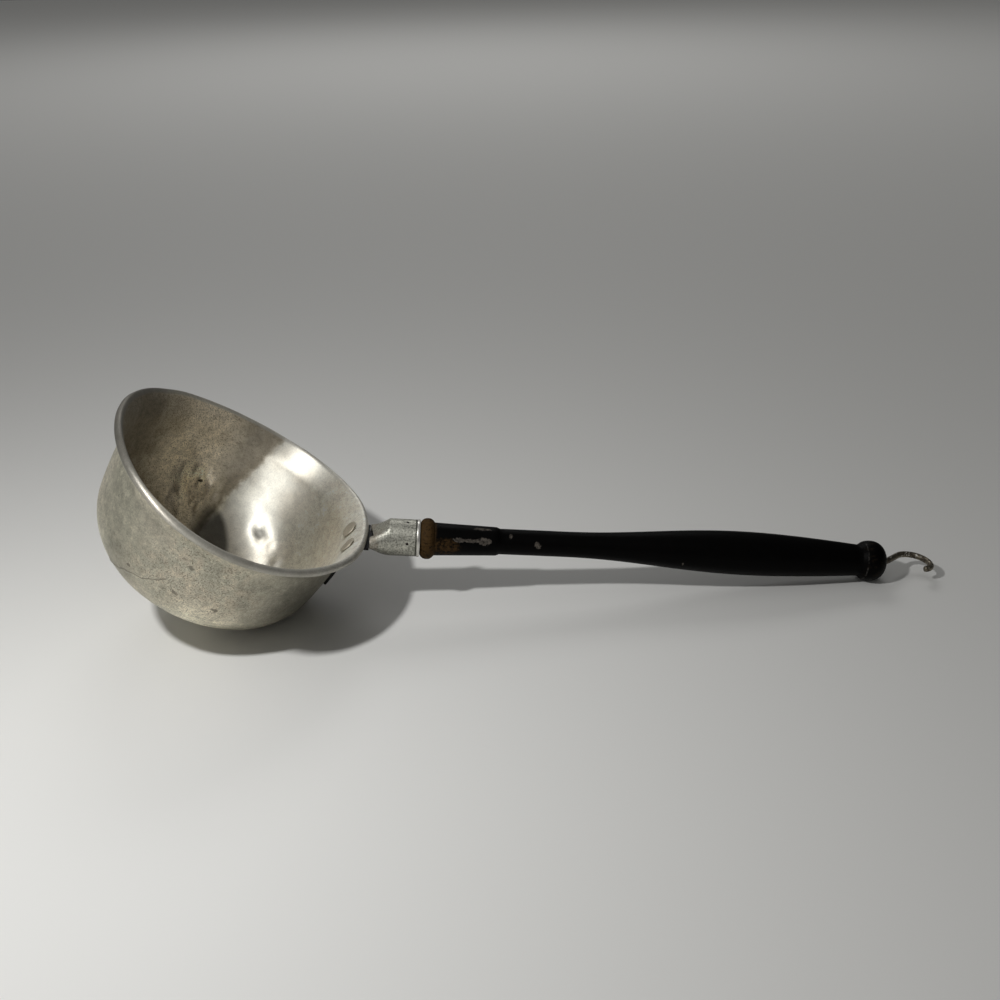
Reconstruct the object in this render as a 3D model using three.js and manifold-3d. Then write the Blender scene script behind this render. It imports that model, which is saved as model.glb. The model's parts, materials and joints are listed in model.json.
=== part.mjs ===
// A dipper: a pressed aluminium bowl riveted to an iron bracket, whose tongue is crimped into a
// sheet-metal socket on a turned wooden handle, with a screw hook in the end of the handle.
// Millimetres, +Z up. It lies on a table as it does when put down, on the bowl's side and the knob,
// with +X along the handle and the origin on the table under the middle of its box.
import * as THREE from 'three';
import { mergeVertices } from 'three/addons/utils/BufferGeometryUtils.js';
import Module from 'manifold-3d';

const wasm = await Module();
wasm.setup();

// Clearance between pieces that touch on the real dipper
const fitGap = 0.3;

// Bowl: heights are measured down from the top of the rim before it went out of true
const rimRadius = 63.5;
const bowlDepth = 62.8;
const bowlSheet = 1.1;
const knuckleRadius = 34.4;
const wallLean = THREE.MathUtils.degToRad(10);
const wallBreak = 0.67;
const flareWidth = 7.2;
const flareDrop = 12;
const flareSlope = THREE.MathUtils.degToRad(52);
const beadHeight = 3.4;
const curlSweep = THREE.MathUtils.degToRad(250);

// How far use has put the rim out of true: ends raised, sides spread, flattened at the handle
const rimSaddle = 3.5;
const rimOval = 2;
const rimFlat = 1.8;
const flatSpread = THREE.MathUtils.degToRad(20);
const strainFade = 1.5;
const flatFade = 8;

// Handle axis: its rise above the plane of the rim, and how far below the rim's top it passes the rim
const handleRise = THREE.MathUtils.degToRad(27.8);
const axisDrop = 3.4;

// Bracket
const bracketSheet = 1.2;
const plateWidth = 22.5;
const plateDrop = 31.5;
const plateCorner = 5;
const bracketBend = 1.2;
const tongueWidth = 11;
const tongueDrop = 0.9;

// Rivets
const rivetDrop = 8.4;
const rivetSpacing = 15.6;
const rivetShank = 1.7;
const rivetHead = 4.2;
const rivetHeadRise = 0.7;
const rivetTail = 2.2;
const rivetTailRise = 1.3;

// Socket: distances along the handle start where its axis passes the rim's edge
const socketStart = 2.2;
const socketLength = 22.5;
const socketRadius = 8.5;
const socketSheet = 0.8;
const crimpLength = 8.8;
const mouthHalfWidth = 9.6;
const facetSlack = 0.75;
const facetFullness = 0.4;
const creaseAngle = THREE.MathUtils.degToRad(116);
const creaseRecess = 2.2;
const lobeRise = 1.5;
const lobeFullness = 0.8;
const floorSlack = 0.3;
const floorEase = 0.9;
const lipReach = 1.8;
const lipSharpness = 3;

// Brads
const bradRadius = 0.65;
const bradLength = 6;
const bradInset = 5.6;
const bradAngles = { top: THREE.MathUtils.degToRad(95), near: THREE.MathUtils.degToRad(173) };

// Wooden handle
const tenonLength = 13;
const beadLength = 7;
const beadRadius = 9.45;
const beadRound = 3.3;
const collarLength = 28.1;
const collarRadius = 7.6;
const collarTaper = 1;
const collarStep = 1.6;
const neckRadius = 5.92;
const neckLength = 30;
const swellLength = 86;
const swellEase = 0.39;
const gripRadius = 10.3;
const gripTailLength = 55.2;
const gripTailRadius = 7.4;
const gripTailEase = 0.37;
const knobLength = 12.85;
const knobRadius = 9.55;
const knobFlare = 2.3;
const knobEdge = 8.9;
const knobCrownReach = 5.8;
const knobShoulder = 0.35;
const knobRound = 0.74;
const knobEndRadius = 4.4;
const gripBow = 0.75;

// Screw hook
const wireRadius = 1.45;
const shankLength = 20;
const shankReach = 0.35;
const shankBend = 3;
const hookRadius = 8.4;
const hookReach = 14.75;
const tipRadius = 4.9;
const tipStart = THREE.MathUtils.degToRad(-10);
const tipEnd = THREE.MathUtils.degToRad(-88);

// Facets
const bowlSides = 48;
const bowlSteps = { base: 1, knuckle: 7, wall: 5, flare: 5, curl: 9 };
const handleSides = 32;
const socketSides = 48;
const rivetSides = 20;
const domeSteps = 4;
const wireSides = 10;
const wireSteps = 44;
const plateSteps = 10;
const plateRise = 12;
const bendSteps = 4;
const cornerSteps = 6;
const crimpSteps = 6;

// Solving: vertices closer than this are one, rounds of each search, and the step for a slope
const mergeTolerance = 1e-4;
const wallRounds = 12;
const tiltRounds = 50;
const slopeStep = 0.5;

// Stock left on a blank for its outline to be cut from
const spareStock = 1;

const quarter = Math.PI / 2;

function lerp(from, to, share) {
  return from + (to - from) * share;
}

function toSolid(geometry) {
  const bare = geometry.clone();
  bare.deleteAttribute('normal');
  bare.deleteAttribute('uv');
  const merged = mergeVertices(bare, mergeTolerance);
  const index = merged.index.array;
  const triVerts = [];
  for (let i = 0; i < index.length; i += 3) {
    const [a, b, c] = index.slice(i, i + 3);
    if (a !== b && b !== c && c !== a) triVerts.push(a, b, c);
  }
  const vertProperties = new Float32Array(merged.attributes.position.array);
  const mesh = new wasm.Mesh({ numProp: 3, vertProperties, triVerts: new Uint32Array(triVerts) });
  return new wasm.Manifold(mesh);
}

function toGeometry(solid) {
  const mesh = solid.getMesh();
  const geometry = new THREE.BufferGeometry();
  geometry.setAttribute('position', new THREE.BufferAttribute(mesh.vertProperties, 3));
  geometry.setIndex(new THREE.BufferAttribute(mesh.triVerts, 1));
  geometry.computeVertexNormals();
  return geometry;
}

function moveVertices(geometry, move) {
  const positions = geometry.attributes.position;
  const point = new THREE.Vector3();
  for (let i = 0; i < positions.count; i += 1) {
    move(point.fromBufferAttribute(positions, i));
    positions.setXYZ(i, point.x, point.y, point.z);
  }
  return geometry;
}

// A lathe turned about X, and one turned about Z
function latheAlongX(profile, sides) {
  return new THREE.LatheGeometry(profile, sides).rotateZ(-quarter);
}

function latheAlongZ(profile, sides) {
  return new THREE.LatheGeometry(profile, sides).rotateX(quarter);
}

// The two faces of a sheet that follows a run of curves, each cut into its own number of steps
function sheetFaces(run, thickness) {
  const right = [];
  const left = [];
  run.forEach(([curve, steps], c) => {
    for (let i = c === 0 ? 0 : 1; i <= steps; i += 1) {
      const point = curve.getPoint(i / steps);
      const tangent = curve.getTangent(i / steps);
      const offset = new THREE.Vector2(tangent.y, -tangent.x).multiplyScalar(thickness / 2);
      right.push(point.clone().add(offset));
      left.push(point.clone().sub(offset));
    }
  });
  return { right, left };
}

function line(from, to) {
  return new THREE.LineCurve(from, to);
}

function arc(centre, radius, from, to, clockwise) {
  return new THREE.EllipseCurve(centre.x, centre.y, radius, radius, from, to, clockwise);
}

// Bowl profile, from the middle of the base out to the end of the curl
const wallTop = new THREE.Vector2(rimRadius - flareWidth - bowlSheet / 2, -flareDrop);
const bowlFaces = sheetFaces(bowlRun(), bowlSheet);

function bowlRun() {
  const half = bowlSheet / 2;
  const reach = knuckleRadius - half;
  const footHeight = knuckleRadius - bowlDepth - reach * Math.sin(wallLean);
  const bend = new THREE.Vector2(wallTop.x, lerp(footHeight, wallTop.y, wallBreak));
  const foot = new THREE.Vector2(wallTop.x - Math.tan(wallLean) * (bend.y - footHeight), footHeight);
  const knuckle = new THREE.Vector2(foot.x - reach * Math.cos(wallLean), knuckleRadius - bowlDepth);
  const middle = new THREE.Vector2(0, half - bowlDepth);
  const baseEdge = new THREE.Vector2(knuckle.x, half - bowlDepth);
  const curl = new THREE.Vector2(rimRadius - beadHeight / 2, -beadHeight / 2);
  const edge = arc(curl, beadHeight / 2 - half, quarter + flareSlope, quarter - curlSweep, true);
  const flareTop = edge.getPoint(0);
  const flareFoot = flareTop.y - Math.tan(flareSlope) * (flareTop.x - wallTop.x);
  const flareBend = new THREE.Vector2(wallTop.x, flareFoot);
  return [
    [line(middle, baseEdge), bowlSteps.base],
    [arc(knuckle, reach, -quarter, -wallLean, false), bowlSteps.knuckle],
    [new THREE.QuadraticBezierCurve(foot, bend, wallTop), bowlSteps.wall],
    [new THREE.QuadraticBezierCurve(wallTop, flareBend, flareTop), bowlSteps.flare],
    [edge, bowlSteps.curl],
  ];
}

// The strain in the bowl is full at the rim and fades to nothing at the base
function strainAt(azimuth, height) {
  const share = Math.max(0, 1 + height / (bowlDepth - bowlSheet));
  const wave = Math.cos(2 * azimuth) * share ** strainFade;
  const flat = Math.exp(-((azimuth / flatSpread) ** 2)) * share ** flatFade;
  return { out: -rimOval * wave - rimFlat * flat, up: rimSaddle * wave };
}

function strainBowl(point) {
  const azimuth = Math.atan2(point.y, point.x);
  const shift = strainAt(azimuth, point.z);
  point.x += shift.out * Math.cos(azimuth);
  point.y += shift.out * Math.sin(azimuth);
  point.z += shift.up;
}

// Where the outside of the wall lies, before and after straining
function trueWallRadius(height) {
  const face = bowlFaces.right;
  const above = face.findIndex((point, i) => i > 1 && point.y >= height);
  const share = (height - face[above - 1].y) / (face[above].y - face[above - 1].y);
  return lerp(face[above - 1].x, face[above].x, share);
}

function wallOutside(y, z) {
  let azimuth = 0;
  let height = z;
  let radius = rimRadius;
  for (let round = 0; round < wallRounds; round += 1) {
    const shift = strainAt(azimuth, height);
    height = z - shift.up;
    radius = trueWallRadius(height) + shift.out;
    azimuth = Math.asin(y / radius);
  }
  return radius * Math.cos(azimuth);
}

// The rim at the handle, and the handle's axis there
const rimTop = rimSaddle;
const rimEdge = rimRadius + strainAt(0, 0).out;
const handleDirection = new THREE.Vector2(Math.cos(handleRise), Math.sin(handleRise));
const axisStart = new THREE.Vector2(rimEdge, rimTop - axisDrop);

// Rivets stand square on the wall; their local Y points out of the bowl
const rivetHeight = rimTop - rivetDrop;
const rivetPlaces = { far: rivetPlace(rivetSpacing / 2), near: rivetPlace(-rivetSpacing / 2) };

function rivetPlace(y) {
  const above = wallOutside(y, rivetHeight + slopeStep);
  const below = wallOutside(y, rivetHeight - slopeStep);
  const beyond = wallOutside(y + slopeStep, rivetHeight);
  const before = wallOutside(y - slopeStep, rivetHeight);
  const normal = new THREE.Vector3(2 * slopeStep, before - beyond, below - above).normalize();
  const place = new THREE.Object3D();
  place.position.set(wallOutside(y, rivetHeight), y, rivetHeight);
  place.quaternion.setFromUnitVectors(new THREE.Vector3(0, 1, 0), normal);
  place.updateMatrix();
  return place;
}

function rivetHole(place) {
  const length = 2 * (rivetHead + bowlSheet + bracketSheet);
  const drill = new THREE.CylinderGeometry(rivetShank + fitGap, rivetShank + fitGap, length, rivetSides);
  return toSolid(drill.applyMatrix4(place.matrix));
}

function drillRivets(solid) {
  return Object.values(rivetPlaces).reduce((body, place) => body.subtract(rivetHole(place)), solid);
}

function domePoints(radius, base, rise) {
  const points = [];
  for (let i = 0; i <= domeSteps; i += 1) {
    const angle = (i / domeSteps) * quarter;
    points.push(new THREE.Vector2(radius * Math.cos(angle), base + rise * Math.sin(angle)));
  }
  points[domeSteps].x = 0;
  return points;
}

function rivetGeometry() {
  const inside = -bowlSheet - fitGap;
  const outside = bracketSheet + 2 * fitGap;
  const head = domePoints(rivetHead, inside, -rivetHeadRise).reverse();
  const shank = [new THREE.Vector2(rivetShank, inside), new THREE.Vector2(rivetShank, outside)];
  const tail = domePoints(rivetTail, outside, rivetTailRise);
  return new THREE.LatheGeometry([...head, ...shank, ...tail], rivetSides);
}

function bowlGeometry() {
  const profile = [...bowlFaces.right, ...bowlFaces.left.slice().reverse()];
  profile[0].x = 0;
  profile[profile.length - 1].x = 0;
  const shell = moveVertices(latheAlongZ(profile, bowlSides), strainBowl);
  return toGeometry(drillRivets(toSolid(shell)));
}

// Bracket: a plate up the wall, bent out under the rim and along the handle
const bracketSeat = fitGap + bracketSheet / 2;
const plateFoot = rimTop - plateDrop;
const crimpEnd = socketStart + crimpLength;
const tongueStart = axisStart.clone().add(belowAxis(tongueDrop));
const shoulder = alongTongue(socketStart - fitGap);
const bendCorner = bracketCorner();
const plateHead = bendCorner.y - bracketBend;

function belowAxis(drop) {
  return new THREE.Vector2(drop * handleDirection.y, -drop * handleDirection.x);
}

function alongTongue(distance) {
  return handleDirection.clone().multiplyScalar(distance).add(tongueStart);
}

// The middle of the plate at a height, where it lies on the wall
function onWall(height) {
  const rise = wallOutside(0, height + slopeStep) - wallOutside(0, height - slopeStep);
  const seat = bracketSeat * Math.hypot(1, rise / (2 * slopeStep));
  return new THREE.Vector2(wallOutside(0, height) + seat, height);
}

// Where the middle of the plate, carried on up the wall, meets the middle of the tongue
function bracketCorner() {
  let corner = tongueStart;
  for (let round = 0; round < wallRounds; round += 1) {
    const back = onWall(corner.y).x - tongueStart.x;
    corner = alongTongue(back / handleDirection.x);
  }
  return corner;
}

function bracketRun() {
  const stripFoot = plateFoot - spareStock;
  const run = [];
  for (let i = 0; i < plateRise; i += 1) {
    const from = lerp(stripFoot, plateHead, i / plateRise);
    const to = lerp(stripFoot, plateHead, (i + 1) / plateRise);
    run.push([line(onWall(from), onWall(to)), 1]);
  }
  const bendEnd = handleDirection.clone().multiplyScalar(bracketBend).add(bendCorner);
  run.push([new THREE.QuadraticBezierCurve(onWall(plateHead), bendCorner, bendEnd), bendSteps]);
  run.push([line(bendEnd, alongTongue(crimpEnd)), 1]);
  return run;
}

function wrapOnWall(point) {
  const height = Math.min(point.z, plateHead);
  const wrap = THREE.MathUtils.clamp((shoulder.x - point.x) / (shoulder.x - onWall(height).x), 0, 1);
  point.x += wrap * (wallOutside(point.y, height) - wallOutside(0, height));
}

function bracketStrip() {
  const faces = sheetFaces(bracketRun(), bracketSheet);
  const side = new THREE.Shape([...faces.right, ...faces.left.slice().reverse()]);
  const width = plateWidth + 2 * spareStock;
  const strip = new THREE.ExtrudeGeometry(side, { depth: width, steps: plateSteps, bevelEnabled: false });
  strip.rotateX(quarter).translate(0, width / 2, 0);
  return toSolid(moveVertices(strip, wrapOnWall));
}

// The strip is cut to a plate with two round corners
function plateOutline() {
  const half = plateWidth / 2;
  const top = rimTop + plateDrop;
  const corner = plateFoot + plateCorner;
  const outline = new THREE.Shape();
  outline.moveTo(-half, top);
  outline.lineTo(-half, corner);
  outline.absarc(plateCorner - half, corner, plateCorner, 2 * quarter, 3 * quarter, false);
  outline.absarc(half - plateCorner, corner, plateCorner, 3 * quarter, 4 * quarter, false);
  outline.lineTo(half, top);
  const block = { depth: 2 * rimRadius, bevelEnabled: false, curveSegments: cornerSteps };
  return toSolid(new THREE.ExtrudeGeometry(outline, block).rotateX(quarter).rotateZ(quarter));
}

// Beside the tongue it is notched back to a shoulder just short of the socket
function tongueNotch(side) {
  const length = crimpEnd + spareStock - socketStart;
  const width = (plateWidth - tongueWidth) / 2 + spareStock;
  const notch = new THREE.BoxGeometry(length, width, bracketSheet + 2 * spareStock);
  notch.translate(length / 2, side * (tongueWidth + width) / 2, 0).rotateY(-handleRise);
  return toSolid(notch.translate(shoulder.x, 0, shoulder.y));
}

function bracketGeometry() {
  const plate = bracketStrip().intersect(plateOutline());
  return toGeometry(drillRivets(plate.subtract(tongueNotch(1)).subtract(tongueNotch(-1))));
}

// Socket: the mid-line of its section, round over the wood. The mouth is crimped down on the tongue with a
// flat facet on top, which ends at a crease, and a lobe on the near side of the crease.
const socketMid = socketRadius - socketSheet / 2;
const socketEnd = socketStart + socketLength;
const tongueSeat = bracketSheet / 2 + fitGap + socketSheet / 2;
const facetRise = tongueSeat - tongueDrop + facetSlack;
const mouthFloor = -tongueDrop - tongueSeat - floorSlack;
const creaseAcross = mouthHalfWidth * Math.cos(creaseAngle);
const lobeWidth = mouthHalfWidth + creaseAcross;

function mouthPoint(angle) {
  const across = mouthHalfWidth * Math.cos(angle);
  const share = Math.sin(angle);
  if (share < 0) return new THREE.Vector2(across, mouthFloor * Math.sqrt(-share));
  const lobe = Math.sin(Math.PI * THREE.MathUtils.clamp((creaseAcross - across) / lobeWidth, 0, 1));
  return new THREE.Vector2(across, facetRise * share ** facetFullness + lobeRise * lobe ** lobeFullness);
}

// How much of the mouth's recess there is: all at the crease, none at the far side or on top of the lobe
function creaseShare(angle) {
  if (Math.sin(angle) < 0) return 0;
  const off = mouthHalfWidth * Math.cos(angle) - creaseAcross;
  const reach = off > 0 ? mouthHalfWidth - creaseAcross : lobeWidth / 2;
  return Math.max(0, 1 - Math.abs(off) / reach);
}

function socketPoint(angle, crimp) {
  const round = new THREE.Vector2(socketMid * Math.cos(angle), socketMid * Math.sin(angle));
  const ease = 1 + floorEase * Math.max(0, -Math.sin(angle));
  return round.lerp(mouthPoint(angle), crimp ** ease);
}

function crimpSocket(point) {
  const crimp = THREE.MathUtils.clamp((crimpEnd - point.x) / crimpLength, 0, 1);
  const angle = Math.atan2(point.z, point.y);
  const depth = Math.hypot(point.y, point.z) - socketMid;
  const step = Math.PI / socketSides;
  const mid = socketPoint(angle, crimp);
  const along = socketPoint(angle + step, crimp).sub(socketPoint(angle - step, crimp)).normalize();
  const lip = Math.max(0, -Math.sin(angle)) ** lipSharpness;
  point.x += crimp * (creaseRecess * creaseShare(angle) - lipReach * lip);
  point.y = mid.x + depth * along.y;
  point.z = mid.y - depth * along.x;
}

function socketProfile() {
  const stations = [socketEnd];
  for (let i = 0; i <= crimpSteps; i += 1) stations.push(lerp(crimpEnd, socketStart, i / crimpSteps));
  const inner = stations.map((x) => new THREE.Vector2(socketRadius - socketSheet, x));
  const outer = stations.map((x) => new THREE.Vector2(socketRadius, x)).reverse();
  return [...inner, ...outer, inner[0].clone()];
}

// Brads: local Y points out of the socket
const bradPlaces = { top: bradPlace(bradAngles.top), near: bradPlace(bradAngles.near) };

function bradPlace(angle) {
  const outward = new THREE.Vector3(0, Math.cos(angle), Math.sin(angle));
  const place = new THREE.Object3D();
  place.position.copy(outward).multiplyScalar(socketRadius - bradLength / 2).setX(socketEnd - bradInset);
  place.quaternion.setFromUnitVectors(new THREE.Vector3(0, 1, 0), outward);
  place.updateMatrix();
  return place;
}

function bradHole(place) {
  const radius = bradRadius + fitGap;
  const drill = new THREE.CylinderGeometry(radius, radius, bradLength + 2 * fitGap, wireSides);
  return toSolid(drill.applyMatrix4(place.matrix));
}

function drillBrads(solid) {
  return Object.values(bradPlaces).reduce((body, place) => body.subtract(bradHole(place)), solid);
}

function socketGeometry() {
  const tube = moveVertices(latheAlongX(socketProfile(), socketSides), crimpSocket);
  return toGeometry(drillBrads(toSolid(tube)));
}

// Wooden handle, from the tenon's end to the bottom of the hook's hole
const beadStart = socketEnd + fitGap;
const beadEnd = beadStart + beadLength;
const collarEnd = beadEnd + collarLength;
const neckEnd = collarEnd + collarStep + neckLength;
const gripTop = neckEnd + swellLength;
const knobStart = gripTop + gripTailLength;
const knobEnd = knobStart + knobLength;
const knobCrown = knobStart + knobCrownReach;
const boreRadius = wireRadius + fitGap;
const handleProfile = turnedProfile();

function turnedProfile() {
  const tenonRadius = socketRadius - socketSheet - fitGap;
  const path = new THREE.Path();
  path.moveTo(0, beadStart - tenonLength);
  path.lineTo(tenonRadius, beadStart - tenonLength);
  path.lineTo(tenonRadius, beadStart);
  path.quadraticCurveTo(beadRadius, beadStart, beadRadius, beadStart + beadRound);
  path.lineTo(beadRadius, beadEnd - beadRound);
  path.quadraticCurveTo(beadRadius, beadEnd, collarRadius, beadEnd);
  path.lineTo(collarRadius - collarTaper, collarEnd);
  path.lineTo(neckRadius, collarEnd + collarStep);
  path.lineTo(neckRadius, neckEnd);
  const swell = swellEase * swellLength;
  path.bezierCurveTo(neckRadius, neckEnd + swell, gripRadius, gripTop - swell, gripRadius, gripTop);
  path.quadraticCurveTo(gripRadius, gripTop + gripTailEase * gripTailLength, gripTailRadius, knobStart);
  const knobFace = knobStart + knobFlare;
  path.lineTo(knobEdge, knobFace);
  path.quadraticCurveTo(knobRadius, lerp(knobFace, knobCrown, knobShoulder), knobRadius, knobCrown);
  path.quadraticCurveTo(knobRadius, lerp(knobCrown, knobEnd, knobRound), knobEndRadius, knobEnd);
  path.lineTo(boreRadius, knobEnd);
  path.lineTo(boreRadius, knobEnd - shankLength - fitGap);
  path.lineTo(0, knobEnd - shankLength - fitGap);
  const steps = { LineCurve: 1, QuadraticBezierCurve: 5, CubicBezierCurve: 10 };
  return path.curves.flatMap((curve, c) => curve.getPoints(steps[curve.type]).slice(c === 0 ? 0 : 1));
}

// The stick has bowed upwards a little between its bead and its knob
function bowAt(x) {
  const share = THREE.MathUtils.clamp((x - beadEnd) / (knobStart - beadEnd), 0, 1);
  return gripBow * Math.sin(Math.PI * share);
}

function handleGeometry() {
  const stick = moveVertices(latheAlongX(handleProfile, handleSides), (point) => {
    point.z += bowAt(point.x);
  });
  return toGeometry(drillBrads(toSolid(stick)));
}

// Screw hook: a straight shank, a bend to one side, a straight lead on to an open ring centred on the
// handle's axis, and a tighter tip
class HookLine extends THREE.Curve {
  constructor() {
    super();
    this.path = hookPath();
  }

  getPoint(share, target = new THREE.Vector3()) {
    const point = this.path.getPoint(share);
    return target.set(point.x, point.y, 0);
  }
}

function hookPath() {
  const shankStart = new THREE.Vector2(knobEnd - shankLength, 0);
  const bendStart = new THREE.Vector2(knobEnd + shankReach, 0);
  const bend = new THREE.Vector2(bendStart.x, shankBend);
  const ring = new THREE.Vector2(knobEnd + hookReach, 0);
  const centres = ring.clone().sub(bend);
  const lead = Math.asin((hookRadius + shankBend) / centres.length()) + centres.angle();
  const tipInset = hookRadius - tipRadius;
  const tip = new THREE.Vector2(tipInset * Math.cos(tipStart), tipInset * Math.sin(tipStart)).add(ring);
  const shankArc = arc(bend, shankBend, -quarter, lead - quarter, false);
  const ringArc = arc(ring, hookRadius, lead + quarter, tipStart, true);
  const path = new THREE.CurvePath();
  path.add(line(shankStart, bendStart));
  path.add(shankArc);
  path.add(line(shankArc.getPoint(1), ringArc.getPoint(0)));
  path.add(ringArc);
  path.add(arc(tip, tipRadius, tipStart, tipEnd, true));
  return path;
}

function hookGeometry() {
  const section = new THREE.Shape();
  section.absarc(0, 0, wireRadius, 0, 2 * Math.PI, false);
  return new THREE.ExtrudeGeometry(section, {
    steps: wireSteps,
    curveSegments: wireSides / 2,
    bevelEnabled: false,
    extrudePath: new HookLine(),
  });
}

// Lying on a table, the lowest points of the bowl and of the handle are level
function lowestPoint(points, tilt) {
  return Math.min(...points.map((point) => point.y * Math.cos(tilt) - point.x * Math.sin(tilt)));
}

function bowlKeel() {
  return bowlFaces.right.map((face) => {
    const point = new THREE.Vector3(face.x, 0, face.y);
    strainBowl(point);
    return new THREE.Vector2(point.x, point.z);
  });
}

function handleKeel() {
  return handleProfile.map((face) => {
    const along = handleDirection.clone().multiplyScalar(face.y);
    return along.add(belowAxis(face.x - bowAt(face.y))).add(axisStart);
  });
}

function restOnTable() {
  const bowl = bowlKeel();
  const handle = handleKeel();
  let low = 0;
  let high = quarter;
  for (let round = 0; round < tiltRounds; round += 1) {
    const tilt = (low + high) / 2;
    if (lowestPoint(bowl, tilt) < lowestPoint(handle, tilt)) low = tilt;
    else high = tilt;
  }
  return { tilt: low, height: -lowestPoint(bowl, low) };
}

// Finishes
const aluminium = { color: 0xa9a59c, roughness: 0.42, metalness: 1 };
const rivetAluminium = { color: 0xb3afa6, roughness: 0.38, metalness: 1 };
const blackIron = { color: 0x1b1917, roughness: 0.6, metalness: 0.6 };
const zincSheet = { color: 0x9c9d97, roughness: 0.5, metalness: 1 };
const bradSteel = { color: 0x2a2622, roughness: 0.7, metalness: 0.8 };
const blackPaint = { color: 0x14110f, roughness: 0.3, metalness: 0 };
const hookSteel = { color: 0x8b8172, roughness: 0.4, metalness: 1 };

function piece(name, geometry, finish, place) {
  const mesh = new THREE.Mesh(geometry, new THREE.MeshStandardMaterial(finish));
  mesh.name = name;
  if (place) {
    mesh.position.copy(place.position);
    mesh.quaternion.copy(place.quaternion);
  }
  return mesh;
}

// The bowl's frame has its origin at the centre of the true rim and +Z out of its mouth
const rest = restOnTable();
const dipper = new THREE.Group();
dipper.rotation.y = rest.tilt;
dipper.position.z = rest.height;
dipper.add(piece('bowl', bowlGeometry(), aluminium));
dipper.add(piece('handle_bracket', bracketGeometry(), blackIron));
for (const [side, place] of Object.entries(rivetPlaces)) {
  dipper.add(piece(`bowl_rivet_${side}`, rivetGeometry(), rivetAluminium, place));
}

// The handle's frame starts where its axis passes the rim, with +X along the axis
const handle = new THREE.Group();
handle.position.set(axisStart.x, 0, axisStart.y);
handle.rotation.y = -handleRise;
handle.add(piece('handle_socket', socketGeometry(), zincSheet));
handle.add(piece('wooden_handle', handleGeometry(), blackPaint));
for (const [side, place] of Object.entries(bradPlaces)) {
  const brad = new THREE.CylinderGeometry(bradRadius, bradRadius, bradLength, wireSides);
  handle.add(piece(`socket_brad_${side}`, brad, bradSteel, place));
}
handle.add(piece('screw_hook', hookGeometry(), hookSteel));
dipper.add(handle);

const assembly = new THREE.Group();
assembly.add(dipper);
assembly.updateMatrixWorld(true);
const box = new THREE.Box3().setFromObject(assembly, true);
assembly.position.x = -(box.min.x + box.max.x) / 2;
assembly.position.y = -(box.min.y + box.max.y) / 2;
assembly.updateMatrixWorld(true);

export default assembly;
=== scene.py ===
"""A worn aluminium dipper: a pressed bowl riveted to an iron bracket, whose tongue is crimped into
a zinc-coated socket on a black-painted wooden handle, with a screw hook in the handle's end.

Sizes are in millimetres. The bowl's frame has its origin at the centre of the true rim and +Z out
of the mouth, and the handle's frame starts where its axis passes the rim, with +X along the axis.
Each piece is modelled in one of them and then placed in the part's own frame, in metres. Camera,
light and floor are in metres too.
"""
import json
import math
from typing import NamedTuple

import bmesh
import bpy
from mathutils import Matrix, Vector, geometry, noise


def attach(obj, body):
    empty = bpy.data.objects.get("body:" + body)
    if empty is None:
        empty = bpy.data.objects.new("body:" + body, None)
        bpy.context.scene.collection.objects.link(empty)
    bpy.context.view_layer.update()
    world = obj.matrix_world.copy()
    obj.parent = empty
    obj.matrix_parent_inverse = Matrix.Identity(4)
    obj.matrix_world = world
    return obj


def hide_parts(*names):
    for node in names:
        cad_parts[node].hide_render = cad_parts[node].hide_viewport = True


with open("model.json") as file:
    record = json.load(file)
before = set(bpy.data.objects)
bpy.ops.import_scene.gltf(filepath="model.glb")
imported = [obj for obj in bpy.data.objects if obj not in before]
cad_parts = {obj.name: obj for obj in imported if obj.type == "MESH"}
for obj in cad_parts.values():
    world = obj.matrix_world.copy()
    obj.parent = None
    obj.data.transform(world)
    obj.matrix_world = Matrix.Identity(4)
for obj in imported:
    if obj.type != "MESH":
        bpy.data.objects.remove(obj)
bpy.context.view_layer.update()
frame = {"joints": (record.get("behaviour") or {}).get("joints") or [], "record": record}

MM = 0.001
QUARTER = math.pi / 2
ACROSS = Vector((0, 1, 0))

# Bowl
RIM_RADIUS = 63.5
BOWL_DEPTH = 62.8
BOWL_SHEET = 1.1
KNUCKLE_RADIUS = 34.4
WALL_LEAN = math.radians(10)
WALL_BREAK = 0.67
FLARE_WIDTH = 7.2
FLARE_DROP = 12
FLARE_SLOPE = math.radians(52)
CURL_HEIGHT = 3.4
CURL_SWEEP = math.radians(250)

# How far use has put the rim out of true
RIM_SADDLE = 3.5
RIM_OVAL = 2
RIM_FLAT = 1.8
FLAT_SPREAD = math.radians(20)
STRAIN_FADE = 1.5
FLAT_FADE = 8

# Handle axis
HANDLE_RISE = math.radians(27.8)
AXIS_DROP = 3.4
FIT_GAP = 0.3

# Bracket
BRACKET_SHEET = 1.2
PLATE_WIDTH = 22.5
PLATE_DROP = 31.5
PLATE_CORNER = 5
BRACKET_BEND = 1.2
BRACKET_EDGE = 0.25
TONGUE_WIDTH = 11
TONGUE_DROP = 0.9
NOTCH_STEP = 0.05

# Rivets
RIVET_DROP = 8.4
RIVET_SPACING = 15.6
RIVET_SHANK = 1.7
RIVET_HEAD = 4.2
RIVET_HEAD_RISE = 0.7
RIVET_TAIL = 2.2
RIVET_TAIL_RISE = 1.3
HEAD_ROUND = 0.7
HEAD_CROWN = 0.8
HAMMER_DEPTH = 0.12
HAMMER_LENGTH = 2

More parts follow.
